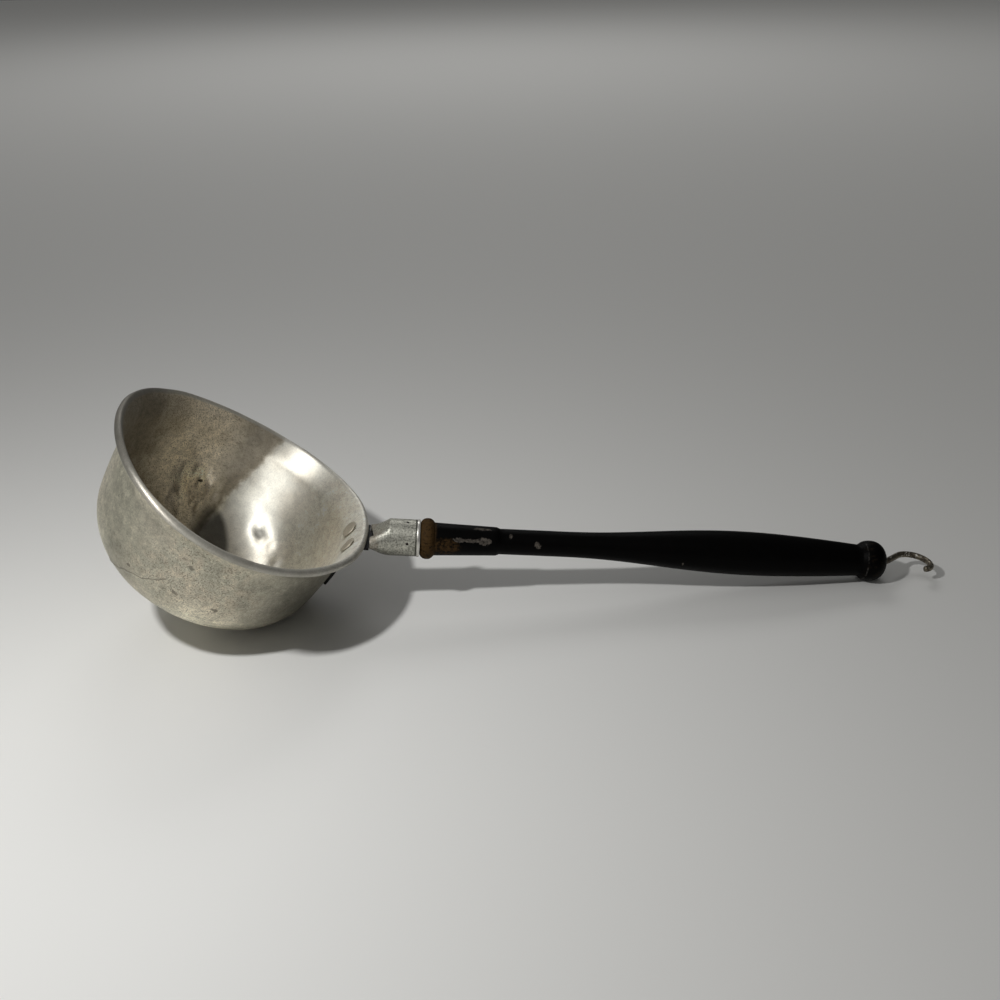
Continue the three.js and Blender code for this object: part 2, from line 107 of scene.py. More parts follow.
# Socket
SOCKET_START = 2.2
SOCKET_LENGTH = 22.5
SOCKET_RADIUS = 8.5
SOCKET_SHEET = 0.8
SOCKET_EDGE = 0.15
CRIMP_LENGTH = 8.8
MOUTH_HALF_WIDTH = 9.6
FACET_SLACK = 0.75
FACET_FULLNESS = 0.4
MOUTH_CREASE_ANGLE = math.radians(116)
MOUTH_CREASE_RECESS = 2.2
LOBE_RISE = 1.5
LOBE_FULLNESS = 0.8
MOUTH_FLOOR_SLACK = 0.3
MOUTH_FLOOR_EASE = 0.9
LIP_REACH = 1.8
LIP_SHARPNESS = 3
END_LIP = 1.3
END_LIP_RISE = 0.12
END_GROOVE = 0.3

# Brads
BRAD_RADIUS = 0.65
BRAD_LENGTH = 6
BRAD_INSET = 5.6
BRAD_TOP = math.radians(95)
BRAD_NEAR = math.radians(173)
BRAD_DIMPLE = 0.35
BRAD_DIMPLE_SPREAD = 1.1
BRAD_CROWN = 0.2
BRAD_PROUD = 0.08

# Wooden handle
TENON_LENGTH = 13
BEAD_LENGTH = 7
BEAD_RADIUS = 9.45
BEAD_ROUND = 3.3
BEAD_EDGE = 0.9
COLLAR_LENGTH = 28.1
COLLAR_RADIUS = 7.6
COLLAR_TAPER = 1
COLLAR_STEP = 1.6
NECK_RADIUS = 5.92
NECK_LENGTH = 30
SWELL_LENGTH = 86
SWELL_EASE = 0.39
GRIP_RADIUS = 10.3
GRIP_TAIL_LENGTH = 55.2
GRIP_TAIL_RADIUS = 7.4
GRIP_TAIL_EASE = 0.37
KNOB_LENGTH = 12.85
KNOB_RADIUS = 9.55
KNOB_FLARE = 2.3
KNOB_EDGE = 8.9
KNOB_CROWN_REACH = 5.8
KNOB_SHOULDER = 0.35
KNOB_ROUND = 0.74
KNOB_END_RADIUS = 4.4
GRIP_BOW = 0.75

# Screw hook
WIRE_RADIUS = 1.45
SHANK_LENGTH = 20
SHANK_REACH = 0.35
SHANK_BEND = 3
HOOK_RADIUS = 8.4
HOOK_REACH = 14.75
TIP_RADIUS = 4.9
TIP_START = math.radians(-10)
TIP_END = math.radians(-88)
TIP_BEVEL = 0.4

# Rounds of the search for the wall, and the step for its slope
WALL_ROUNDS = 12
SLOPE_STEP = 0.5

# Fineness of the meshes
BOWL_SIDES = 256
HANDLE_SIDES = 96
SOCKET_SIDES = 160
RIVET_SIDES = 48
BRAD_SIDES = 24
WIRE_SIDES = 20
STRAP_STEPS = 24
TONGUE_STEPS = 8
MERGE = 1e-4
SHARP_ANGLE = math.radians(40)
EDGE_ANGLE = math.radians(50)

# Distances along the handle
SOCKET_END = SOCKET_START + SOCKET_LENGTH
CRIMP_END = SOCKET_START + CRIMP_LENGTH
BEAD_START = SOCKET_END + FIT_GAP
BEAD_END = BEAD_START + BEAD_LENGTH
COLLAR_END = BEAD_END + COLLAR_LENGTH
NECK_START = COLLAR_END + COLLAR_STEP
NECK_END = NECK_START + NECK_LENGTH
GRIP_TOP = NECK_END + SWELL_LENGTH
KNOB_START = GRIP_TOP + GRIP_TAIL_LENGTH
KNOB_END = KNOB_START + KNOB_LENGTH

# Camera, as it stood for the photograph
CAMERA_PLACE = Vector((-34.822, -467.390, 284.517)) * MM
CAMERA_RIGHT = Vector((0.99821871, -0.0551387, -0.02278452))
CAMERA_DOWN = Vector((-0.04501636, -0.44547981, -0.89415953))
CAMERA_LENS = 41.4
SENSOR_WIDTH = 36

# Light
LAMP_PLACE = Vector((-0.26, -0.20, 0.41))
LAMP_AIM = Vector((-0.17, -0.1, 0))
LAMP_SIZE = 0.035
LAMP_POWER = 1.32
BACK_PLACE = Vector((0, 2.4, 1.9))
BACK_AIM = Vector((0, 2.2, 0))
BACK_SIZE = 1.5
BACK_POWER = 13
BRIGHT_SIDE = Vector((-0.75, -0.2, 0.63))
ROOM_TURN = (-0.4, 0.7)
ROOM_DARK = (0.02, 0.02, 0.02, 1)
ROOM_BRIGHT = (0.2, 0.2, 0.197, 1)
FLOOR_SIZE = 12
FLOOR_COLOUR = (0.8, 0.795, 0.77, 1)

# Colours
# Dark marks on the aluminium: real dirt and pits, and also painted shade under the curled rim,
# along the crease and in the crumpled folds
DIRT_AND_SHADE = (0.1, 0.082, 0.06, 1)
OUTSIDE_COOL = (0.58, 0.557, 0.45, 1)
OUTSIDE_WARM = (0.63, 0.59, 0.48, 1)
OUTSIDE_BROWN = (0.6, 0.522, 0.41, 1)
INSIDE_COOL = (0.88, 0.86, 0.77, 1)
INSIDE_WARM = (0.88, 0.83, 0.72, 1)
STAIN_DARK = (0.8, 0.7, 0.53, 1)
STAIN_PALE = (0.97, 0.87, 0.69, 1)
RIVET_DARK = (0.42, 0.38, 0.3, 1)
RIVET_PALE = (0.56, 0.51, 0.42, 1)
ENAMEL_DARK = (0.003, 0.003, 0.0025, 1)
ENAMEL_PALE = (0.012, 0.01, 0.008, 1)
WORN_IRON = (0.08, 0.055, 0.035, 1)
ZINC_DARK = (0.2, 0.2, 0.17, 1)
ZINC_PALE = (0.62, 0.61, 0.53, 1)
ZINC_RUST = (0.2, 0.155, 0.11, 1)
ZINC_DARKENED = (0.07, 0.07, 0.055, 1)
ZINC_BRIGHT = (0.75, 0.73, 0.68, 1)
BRAD_DARK = (0.006, 0.005, 0.004, 1)
BRAD_RUST = (0.025, 0.016, 0.01, 1)
PAINT_DARK = (0.0006, 0.0005, 0.0005, 1)
PAINT_PALE = (0.0016, 0.0014, 0.0013, 1)
PAINT_RUBBED = (0.018, 0.012, 0.007, 1)
PAINT_LINE = (0.06, 0.055, 0.05, 1)
PRIMER_DARK = (0.016, 0.014, 0.012, 1)
PRIMER_PALE = (0.115, 0.1, 0.085, 1)
WOOD_DARK = (0.02, 0.011, 0.004, 1)
WOOD_PALE = (0.085, 0.048, 0.018, 1)
WIRE_DARK = (0.14, 0.12, 0.085, 1)
WIRE_PALE = (0.3, 0.265, 0.2, 1)
WIRE_RUST = (0.03, 0.02, 0.011, 1)
WIRE_BRIGHT = (0.78, 0.75, 0.66, 1)


def mount(name):
    """A mount of the part's record."""
    return next(m for m in frame["record"]["mounts"] if m["name"] == name)


def own_frame(origin, along):
    """A frame in millimetres at a place in the part's frame, with Y level across the handle."""
    up = along.cross(ACROSS)
    turn = Matrix((along, ACROSS, up)).transposed().to_4x4()
    return Matrix.Translation(origin) @ turn @ Matrix.Scale(MM, 4)


def bowl_frame():
    base = mount("bowl_base")
    up = -Vector(base["axis"]).normalized()
    return own_frame(Vector(base["pos_m"]) + up * BOWL_DEPTH * MM, ACROSS.cross(up))


def handle_frame():
    turn = next(j for j in frame["joints"] if j["name"] == "hook_turn")
    along = Vector(turn["axis"]).normalized()
    return own_frame(Vector(turn["pos_m"]) - along * KNOB_END * MM, along)


BOWL = bowl_frame()
HANDLE = handle_frame()


# Outlines

def lerp(start, end, share):
    return start + (end - start) * share


def clamp(value, low=0, high=1):
    return max(low, min(high, value))


def spaced(start, end, steps):
    """Even steps from one number to another, without the first."""
    return [lerp(start, end, i / steps) for i in range(1, steps + 1)]


def bezier(points, steps=1):
    """Points along a Bezier curve of any degree, without its first."""
    made = []
    for share in spaced(0, 1, steps):
        level = [Vector(point) for point in points]
        while len(level) > 1:
            level = [a.lerp(b, share) for a, b in zip(level, level[1:])]
        made.append(level[0])
    return made


def arc(centre, radius, start, end, steps):
    """Points along an arc, without its first."""
    turns = [Vector((math.cos(a), math.sin(a))) for a in spaced(start, end, steps)]
    return [centre + radius * turn for turn in turns]


def bowl_outline():
    """The middle of the sheet, from the centre of the base to the end of the curled edge."""
    half = BOWL_SHEET / 2
    reach = KNUCKLE_RADIUS - half
    wall_top = Vector((RIM_RADIUS - FLARE_WIDTH - half, -FLARE_DROP))
    foot_height = KNUCKLE_RADIUS - BOWL_DEPTH - reach * math.sin(WALL_LEAN)
    bend = Vector((wall_top.x, lerp(foot_height, wall_top.y, WALL_BREAK)))
    foot = Vector((wall_top.x - math.tan(WALL_LEAN) * (bend.y - foot_height), foot_height))
    knuckle = Vector((foot.x - reach * math.cos(WALL_LEAN), KNUCKLE_RADIUS - BOWL_DEPTH))
    middle = Vector((0, half - BOWL_DEPTH))
    curl = Vector((RIM_RADIUS - CURL_HEIGHT / 2, -CURL_HEIGHT / 2))
    curl_start = QUARTER + FLARE_SLOPE
    curl_radius = CURL_HEIGHT / 2 - half
    flare_top = curl + curl_radius * Vector((math.cos(curl_start), math.sin(curl_start)))
    flare_foot = flare_top.y - math.tan(FLARE_SLOPE) * (flare_top.x - wall_top.x)
    return [
        middle,
        *bezier([middle, Vector((knuckle.x, middle.y))], steps=14),
        *arc(knuckle, reach, -QUARTER, -WALL_LEAN, steps=36),
        *bezier([foot, bend, wall_top], steps=24),
        *bezier([wall_top, Vector((wall_top.x, flare_foot)), flare_top], steps=14),
        *arc(curl, curl_radius, curl_start, QUARTER - CURL_SWEEP, steps=18),
    ]


def handle_outline():
    """The turned shape as distance along and radius, from the tenon to the hook's hole."""
    tenon = SOCKET_RADIUS - SOCKET_SHEET - FIT_GAP
    bore = WIRE_RADIUS + FIT_GAP
    bore_end = KNOB_END - SHANK_LENGTH - FIT_GAP
    swell = SWELL_EASE * SWELL_LENGTH
    tail = GRIP_TAIL_EASE * GRIP_TAIL_LENGTH
    face = KNOB_START + KNOB_FLARE
    crown = KNOB_START + KNOB_CROWN_REACH
    points = [Vector((BEAD_START - TENON_LENGTH, 0))]

    def on(*controls, steps=1):
        points.extend(bezier([points[-1], *[Vector(c) for c in controls]], steps))

    on((BEAD_START - TENON_LENGTH, tenon))
    on((BEAD_START, tenon))
    on((BEAD_START + BEAD_EDGE, BEAD_RADIUS), (BEAD_START + BEAD_ROUND, BEAD_RADIUS), steps=10)
    on((BEAD_END - BEAD_ROUND, BEAD_RADIUS), steps=2)
    on(
        (BEAD_END - 2 * BEAD_EDGE, BEAD_RADIUS),
        (BEAD_END - BEAD_EDGE / 2, COLLAR_RADIUS),
        steps=10,
    )
    on((COLLAR_END, COLLAR_RADIUS - COLLAR_TAPER), steps=12)
    on((NECK_START, NECK_RADIUS), steps=3)
    on((NECK_END, NECK_RADIUS), steps=12)
    on(
        (NECK_END + swell, NECK_RADIUS),
        (GRIP_TOP - swell, GRIP_RADIUS),
        (GRIP_TOP, GRIP_RADIUS),
        steps=40,
    )
    on((GRIP_TOP + tail, GRIP_RADIUS), (KNOB_START, GRIP_TAIL_RADIUS), steps=28)
    on((face, KNOB_EDGE), steps=4)
    on((lerp(face, crown, KNOB_SHOULDER), KNOB_RADIUS), (crown, KNOB_RADIUS), steps=12)
    on((lerp(crown, KNOB_END, KNOB_ROUND), KNOB_RADIUS), (KNOB_END, KNOB_END_RADIUS), steps=14)
    on((KNOB_END, bore), steps=3)
    on((bore_end, bore), steps=4)
    on((bore_end, 0))
    return points


# Mesh building

def lathe(points, axis, sides):
    """A bmesh of an open outline spun about an axis through the origin."""
    bm = bmesh.new()
    verts = [bm.verts.new(point) for point in points]
    edges = [bm.edges.new(ends) for ends in zip(verts, verts[1:])]
    turn = {"cent": (0, 0, 0), "axis": axis, "angle": math.tau, "steps": sides, "use_merge": True}
    bmesh.ops.spin(bm, geom=verts + edges, **turn)
    bmesh.ops.remove_doubles(bm, verts=bm.verts, dist=MERGE)
    bmesh.ops.recalc_face_normals(bm, faces=bm.faces)
    return bm


def piece(name, bm, place, finishes, node, body="dipper"):
    """A finished mesh object, placed in its vertices, that stands for a CAD node."""
    bmesh.ops.transform(bm, matrix=place, verts=bm.verts)
    for face in bm.faces:
        face.smooth = True
    mesh = bpy.data.meshes.new(name)
    bm.to_mesh(mesh)
    bm.free()
    mesh.set_sharp_from_angle(angle=SHARP_ANGLE)
    for finish in finishes:
        mesh.materials.append(finish.material)
    made = bpy.data.objects.new(name, mesh)
    bpy.context.scene.collection.objects.link(made)
    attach(made, body)
    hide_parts(node)
    return made


def thicken(made, sheet, inner=0):
    """Gives a surface the thickness of its sheet, half to each side."""
    shell = made.modifiers.new("sheet", "SOLIDIFY")
    shell.thickness = sheet * MM
    shell.offset = 0
    shell.use_even_offset = True
    shell.material_offset = inner
    shell.material_offset_rim = inner


def soften(made, width):
    """Takes the sharpness off a piece's edges."""
    edge = made.modifiers.new("edges", "BEVEL")
    edge.width = width * MM
    edge.segments = 2
    edge.limit_method = "ANGLE"
    edge.angle_limit = EDGE_ANGLE


def settle(made):
    """Makes a piece's modifiers part of its mesh."""
    shown = made.evaluated_get(bpy.context.evaluated_depsgraph_get())
    mesh = bpy.data.meshes.new_from_object(shown)
    made.modifiers.clear()
    made.data = mesh


# Shader building

class Value:
    """What a node gives. Arithmetic on it adds Math nodes."""

    def __init__(self, nodes, socket):
        self.nodes = nodes
        self.socket = socket

    def math(self, operation, *terms):
        return self.nodes.node("ShaderNodeMath", {"operation": operation}, dict(enumerate(terms)))

    def __add__(self, other):
        return self.math("ADD", self, other)

    def __radd__(self, other):
        return self.math("ADD", other, self)

    def __sub__(self, other):
        return self.math("SUBTRACT", self, other)

    def __rsub__(self, other):
        return self.math("SUBTRACT", other, self)

    def __mul__(self, other):
        return self.math("MULTIPLY", self, other)

    def __rmul__(self, other):
        return self.math("MULTIPLY", other, self)


class Nodes:
    """A node tree that is added to node by node."""

    def __init__(self, tree):
        self.tree = tree

    def node(self, kind, settings=None, inputs=None, output=0):
        made = self.tree.nodes.new(kind)
        for name, value in (settings or {}).items():
            setattr(made, name, value)
        self.feed(made, inputs or {})
        return Value(self, made.outputs[output])

    def feed(self, made, inputs):
        for key, value in inputs.items():
            if isinstance(value, Value):
                self.tree.links.new(value.socket, made.inputs[key])
            else:
                made.inputs[key].default_value = value

    def vector(self, operation, first, second=(0, 0, 0), output="Vector"):
        settings = {"operation": operation}
        return self.node("ShaderNodeVectorMath", settings, {0: first, 1: second}, output)

    def dot(self, first, second):
        return self.vector("DOT_PRODUCT", first, second, "Value")

    def length(self, first):
        return self.vector("LENGTH", first, output="Value")

    def distance(self, first, second):
        return self.vector("DISTANCE", first, second, "Value")

    def mix(self, share, low, high):
        return self.node("ShaderNodeMix", {"data_type": "RGBA"}, {0: share, 6: low, 7: high}, 2)

    def step(self, value, low, high):
        """Rises smoothly from 0 at low to 1 at high, or falls where low is the larger."""
        ends = {"Value": value, "From Min": low, "From Max": high}
        return self.node("ShaderNodeMapRange", {"interpolation_type": "SMOOTHSTEP"}, ends)


class Finish(Nodes):
    """A material whose patterns lie in a piece's own frame, in millimetres."""

    def __init__(self, name, place):
        self.material = bpy.data.materials.new(name)
        self.material.use_nodes = True
        super().__init__(self.material.node_tree)
        self.shader = self.tree.nodes["Principled BSDF"]
        spread = {
            "Vector": self.node("ShaderNodeTexCoord", output="Object"),
            "Location": place.to_translation(),
            "Rotation": place.to_euler(),
            "Scale": place.to_scale(),
        }
        self.place = self.node("ShaderNodeMapping", {"vector_type": "TEXTURE"}, spread)

    def surface(self, **inputs):
        """Sets the shader's sockets, named in lower case with underscores."""
        names = {s.name.lower().replace(" ", "_"): s.name for s in self.shader.inputs}
        self.feed(self.shader, {names[key]: value for key, value in inputs.items()})

    def axis(self, name):
        return self.node("ShaderNodeSeparateXYZ", inputs={0: self.place}, output=name)

    def stretched(self, x, y, z):
        return self.vector("MULTIPLY", self.place, (x, y, z))

    def cloud(self, size, detail=3, where=None, rough=0.55):
        """Noise from about 0 to 1, with blotches of a size in millimetres."""
        spread = {
            "Vector": where or self.place,
            "Scale": 1 / size,
            "Detail": detail,
            "Roughness": rough,
        }
        return self.node("ShaderNodeTexNoise", inputs=spread)

    def patch(self, centre, size, ragged=0.35, grain=1.2, soft=0.12):
        """A ragged spot, 1 inside and 0 outside, with its half sizes along the three axes."""
        off = self.vector("DIVIDE", self.vector("SUBTRACT", self.place, centre), size)
        edge = self.length(off) + 4 * ragged * (self.cloud(grain) - 0.5)
        return self.step(edge, 1 + soft, 1 - soft)

    def wandering_line(self, start, end, width):
        """A wandering line between two places on a round surface about the origin."""
        along = (end - start).normalized()
        across = along.cross(start + end).normalized()
        off = self.vector("SUBTRACT", self.place, start)
        reach = self.dot(off, along)
        wander = 2.5 * (self.cloud(3) - 0.5)
        aside = self.dot(off, across) + wander
        length = (end - start).length
        between = self.step(reach, -1, 0) * self.step(reach, length + 1, length)
        near = self.step(self.length(off), length + 6, length + 4)
        return between * near * self.step(aside * aside, width ** 2, 0.2 * width ** 2)

    def most(self, first, second):
        return first.math("MAXIMUM", first, second)

    def bump(self, height, depth):
        """A normal from a height of about 0 to 1 that stands for a depth in millimetres."""
        return self.node("ShaderNodeBump", inputs={"Height": height, "Distance": depth * MM})

    def shade(self, colour, level):
        inputs = {0: colour, "Scale": level}
        return self.node("ShaderNodeVectorMath", {"operation": "SCALE"}, inputs)

    def darken(self, level, *places):
        """Takes a share off a level in each of some places, given as pairs of share and mask."""
        for share, mask in places:
            level = level * (1 - share * mask)
        return level


# The bowl's strain and dents

def strain(azimuth, height):
    """How far a point of the true bowl has been pushed out from the axis, and up."""
    share = max(0, 1 + height / (BOWL_DEPTH - BOWL_SHEET))
    wave = math.cos(2 * azimuth) * share ** STRAIN_FADE
    flat = math.exp(-((azimuth / FLAT_SPREAD) ** 2)) * share ** FLAT_FADE
    return -RIM_OVAL * wave - RIM_FLAT * flat, RIM_SADDLE * wave


def strained(point):
    """Where a point of the true bowl has gone."""
    azimuth = math.atan2(point.y, point.x)
    out, up = strain(azimuth, point.z)
    return point + Vector((out * math.cos(azimuth), out * math.sin(azimuth), up))


def on_bowl(azimuth, radius, height):
    """A place on the bowl, by degrees from the handle, distance from the axis and height."""
    angle = math.radians(azimuth)
    return Vector((radius * math.cos(angle), radius * math.sin(angle), height))


class Dent(NamedTuple):
    """A dent along a line, with its half width and how far it is pushed out of the bowl."""
    start: Vector
    end: Vector
    width: float
    push: float


CREASE = [
    on_bowl(-138, 45.7, -50.6),
    on_bowl(-121.5, 50.7, -43.5),
    on_bowl(-112.1, 52.5, -40),
    on_bowl(-102.8, 54.5, -33.4),
]
SMUDGES = [
    on_bowl(-77.3, 53.4, -37.6),
    on_bowl(-96.5, 53.6, -37.1),
    on_bowl(-121, 52.3, -40.1),
    on_bowl(-96, 56.9, -21.4),
    on_bowl(30, 54, -33),
    on_bowl(170, 50, -45),
]
SMUDGE_SIZE = (1.3, 1.3, 1)
CREASE_MIDDLE = on_bowl(-130, 49, -46)
ROUGH_SKIN = on_bowl(-90, 54, -34)
INSIDE_PIT = on_bowl(104.8, 52.4, -39.8)
PIT_SIZE = (1.1, 2, 0.8)
CRUMPLE = on_bowl(106, 49, -44)
# The middle of the oval dent is painted darker, as painted shade in the dent
DIMPLE = on_bowl(60, 47.5, -46.3)
DIMPLE_SIZE = (3.6, 2.8, 2.4)
# Height and span across of the painted dark reflection at the foot of the far wall
POOL_TOP = -47
POOL_SIDE = (14, 32)

# Heights, and distances from the axis, between which a part of the bowl begins
OUTSIDE_FOOT = (-30, -47)
INSIDE_FOOT = (-36, -48)
CURL_SHADE = (-5.5, -3.5)
BASE_OUTSIDE = (20, 38)
CURL_INSIDE = (59.8, 60.6)
CURL_OUTSIDE = (61.6, 62.8)

DENTS = [
    Dent(on_bowl(62, 47.9, -45.0), on_bowl(57, 47.0, -46.6), 3.6, -1.1),
    Dent(on_bowl(50, 47.1, -46.1), on_bowl(50, 47.1, -46.1), 2.2, -0.6),
    Dent(on_bowl(38, 45.2, -48.6), on_bowl(36, 43.6, -50.2), 2.4, -0.6),
    Dent(on_bowl(104, 50.3, -41), on_bowl(108, 49.4, -42), 4, 1.2),
    Dent(on_bowl(94, 51.6, -37.2), on_bowl(94, 52.2, -35), 4.2, -0.9),
    Dent(on_bowl(97, 47.3, -46.5), on_bowl(99, 46, -48), 3.6, -1.2),
    Dent(on_bowl(111.7, 45.5, -49.6), on_bowl(113.5, 40.9, -54.1), 1.9, -1.2),
    Dent(on_bowl(120, 48.5, -45), on_bowl(123, 45, -50), 3.2, 1),
    *[Dent(start, end, 1.5, 0.45) for start, end in zip(CREASE, CREASE[1:])],
    Dent(on_bowl(-120, 49, -45.5), on_bowl(-110, 48, -47), 5, -0.5),
    Dent(on_bowl(-70, 45, -50), on_bowl(-60, 44, -51), 5, -0.4),
    Dent(on_bowl(165, 50, -42), on_bowl(172, 49, -44), 6, -0.5),
]
WAVE_DEPTH = 0.25
WAVE_LENGTH = 16


def dent_depth(point):
    """How far dents and waves push a point of the true bowl out."""
    depth = WAVE_DEPTH * noise.noise(point / WAVE_LENGTH)
    for dent in DENTS:
        nearest = dent.start
        if dent.start != dent.end:
            share = geometry.intersect_point_line(point, dent.start, dent.end)[1]
            nearest = dent.start.lerp(dent.end, clamp(share))
        depth += dent.push * math.exp(-((point - nearest).length / dent.width) ** 2)
    return depth


# Finishes

class Aluminium(Finish):
    """Dull, scuffed sheet, with the noises and distances that its patterns are made of."""

    def __init__(self, name):
        super().__init__(name, BOWL)
        self.broad = self.cloud(26)
        self.blotch = self.cloud(5, 4)
        self.grain = self.cloud(0.7)
        self.mottle = self.cloud(2.8, 5, rough=0.75)
        self.pepper = self.cloud(0.65, 4, rough=0.8)
        streaks = self.cloud(1.6, 4, self.stretched(0.35, 0.35, 1), rough=0.75)
        self.scuff = self.step(streaks, 0.44, 0.3)
        self.hue = self.step(self.broad, 0.35, 0.65)
        self.tone = 0.5 + 0.5 * self.blotch + 0.5 * self.grain
        self.relief = 0.5 * self.grain + 0.6 * self.blotch
        level = self.stretched(1, 1, 0)
        self.towards_handle = self.dot(self.vector("NORMALIZE", level), (1, 0, 0))
        wave = 2 * self.towards_handle * self.towards_handle - 1
        self.height = self.axis("Z")
        self.below_rim = self.height - RIM_SADDLE * wave
        self.from_axis = self.length(level) + RIM_OVAL * wave


def bowl_outside():
    f = Aluminium("scuffed_aluminium")
    foot = f.step(f.height, *OUTSIDE_FOOT)
    # Painted light: the far end of the outside is made lighter
    painted_far_end = f.step(f.towards_handle, -0.6, -0.95)
    # Painted shade: the side by the handle, away from the lamp, is made darker
    by_handle = f.step(f.towards_handle, 0.1, 0.75)
    # Painted light: the foot on the lit side is made lighter, as if lit from the floor
    lit_foot = foot * f.step(f.towards_handle, -0.2, 0.1)
    # Painted shade: the wall round the crease is made darker
    by_crease = f.step(f.distance(f.place, CREASE_MIDDLE), 17, 6)
    grime = f.step(f.cloud(8, 4), 0.45, 0.65)

    from_skin = f.distance(f.place, ROUGH_SKIN) + 24 * (f.broad - 0.5)
    rough_skin = f.step(from_skin, 42, 14)
    brown = rough_skin * (1 - 0.7 * foot) * f.step(f.blotch, 0.4, 0.65)
    metal = f.mix(0.6 * brown, f.mix(f.hue, OUTSIDE_COOL, OUTSIDE_WARM), OUTSIDE_BROWN)
    lit = f.tone * (1 + 0.15 * painted_far_end + 0.5 * lit_foot) * (0.5 + f.mottle)
    level = f.darken(lit, (0.5, by_handle), (0.32, by_crease)) * (1.03 - 0.14 * grime)

    pepper = f.step(f.pepper - 0.09 * rough_skin, 0.43, 0.25)
    dark = f.most(0.85 * pepper, 0.45 * f.scuff)
    # Painted shade: a dark line along each fold of the crease
    for start, end in zip(CREASE, CREASE[1:]):
        dark = f.most(dark, 0.65 * f.wandering_line(start, end, width=0.4))
    for place in SMUDGES:
        smudge = f.patch(place, SMUDGE_SIZE, ragged=0.9, grain=1.6, soft=0.3)
        dark = f.most(dark, 0.7 * smudge)
    # Painted shade: a dark band on the wall just under the curled rim
    under_rim = f.step(f.below_rim, *CURL_SHADE)
    f.surface(
        base_color=f.mix(f.most(dark, 0.6 * under_rim), f.shade(metal, level), DIRT_AND_SHADE),
        metallic=0.95 - 0.4 * dark,
        roughness=0.45 + 0.12 * f.blotch,
        normal=f.bump(f.relief - 0.5 * dark, 0.12),
    )
    return f


def painted_reflection_mask(f, ragged):
    """The painted dark reflection: a triangle at the foot of the far wall, beside the stain's
    edge.
    """
    low = f.height - POOL_TOP
    right = f.step(f.towards_handle + 0.034 * low, 0.06, -0.05)
    left = f.step(ragged - 0.0083 * low, -0.2, 0)
    depth = f.step(low + 3 * (f.blotch - 0.5), 2, -4)
    return right * left * depth * f.step(f.axis("Y"), *POOL_SIDE)


def bowl_inside():
    f = Aluminium("stained_aluminium")
    ragged = f.towards_handle + 0.12 * (f.blotch - 0.5)
    bead = f.step(f.from_axis, *CURL_INSIDE)
    # The outer edge of the bead is made darker below: partly dirt under the bead, partly painted
    # shade
    bead_edge = f.step(f.from_axis, *CURL_OUTSIDE)
    off_base = f.step(f.from_axis, *BASE_OUTSIDE)
    stain = f.step(ragged - 0.0046 * f.height, 0.25, 0.19) * (1 - 0.8 * bead)
    # Painted shade: the far end of the inside, which faces away from the lamp, is made darker
    painted_far_end = off_base * f.step(f.towards_handle + 0.25 * (f.broad - 0.5), -0.5, -0.95)
    # The wall just past the stain's edge: below, it darkens the stain there as painted shade and
    # adds a few specks
    by_edge = off_base * f.step(f.towards_handle, -0.3, 0)
    by_handle = f.step(f.towards_handle, 0.5, 0.8)
    crumpled = f.step(f.distance(f.place, CRUMPLE), 18, 7)
    folds = f.cloud(5.5, 1, f.stretched(1, 1, 0.45))

    clean = f.mix(f.hue, INSIDE_COOL, INSIDE_WARM)
    brown = f.mix(f.step(f.broad, 0.4, 0.6), STAIN_DARK, STAIN_PALE)
    # Painted light: the stained, crumpled wall, which faces the lamp, is made lighter
    lit = f.tone * (1 + 0.5 * crumpled * stain + by_handle * (f.mottle - 0.45))
    level = f.darken(
        lit,
        (0.65, painted_far_end),
        (0.55, by_edge * stain),
        (0.25, stain * f.step(f.mottle, 0.42, 0.66)),
        (0.36, bead),
        (0.15, bead_edge),
        # Painted shade: the foot of the inside wall is made darker
        (0.2, f.step(f.height, *INSIDE_FOOT)),
        # Painted reflection: the dark triangle at the foot of the far wall
        (0.75, painted_reflection_mask(f, ragged)),
        # Painted shade: the middle of the oval dent
        (0.65, f.patch(DIMPLE, DIMPLE_SIZE, ragged=0.15, grain=3, soft=0.45)),
    )
    metal = f.shade(f.mix(stain, clean, brown), level)

    pepper = f.step(f.pepper - 0.09 * stain + 0.05 * by_edge, 0.45, 0.25)
    dark = f.most(0.8 * pepper, 0.5 * f.scuff * stain)
    dark = f.most(dark, f.patch(INSIDE_PIT, PIT_SIZE, ragged=0.3, grain=1))
    # Painted shade: dark in the folds of the crumpled wall
    dark = f.most(dark, 0.35 * crumpled * f.step(folds, 0.42, 0.3))
    pitted = f.most(f.most(stain, bead), 0.6 * by_handle)
    skin = 0.1 * (f.relief - 0.5 * dark) * (0.4 + 0.6 * pitted)
    f.surface(
        base_color=f.mix(dark * (0.35 + 0.65 * pitted), metal, DIRT_AND_SHADE),
        metallic=1 - 0.4 * f.most(stain, bead),
        roughness=0.56 + 0.06 * stain - 0.14 * bead,
        anisotropic=0.8,
        anisotropic_rotation=0.21,
        normal=f.bump(skin + 5 * crumpled * folds, 1),
    )
    return f


def rivet_metal():
    f = Aluminium("hammered_aluminium")
    metal = f.shade(f.mix(f.blotch, RIVET_DARK, RIVET_PALE), f.tone)
    f.surface(
        base_color=f.mix(0.7 * f.step(f.pepper, 0.42, 0.3), metal, DIRT_AND_SHADE),
        metallic=0.7,
        roughness=0.42 + 0.15 * f.blotch,
        normal=f.bump(f.relief, 0.12),
    )
    return f


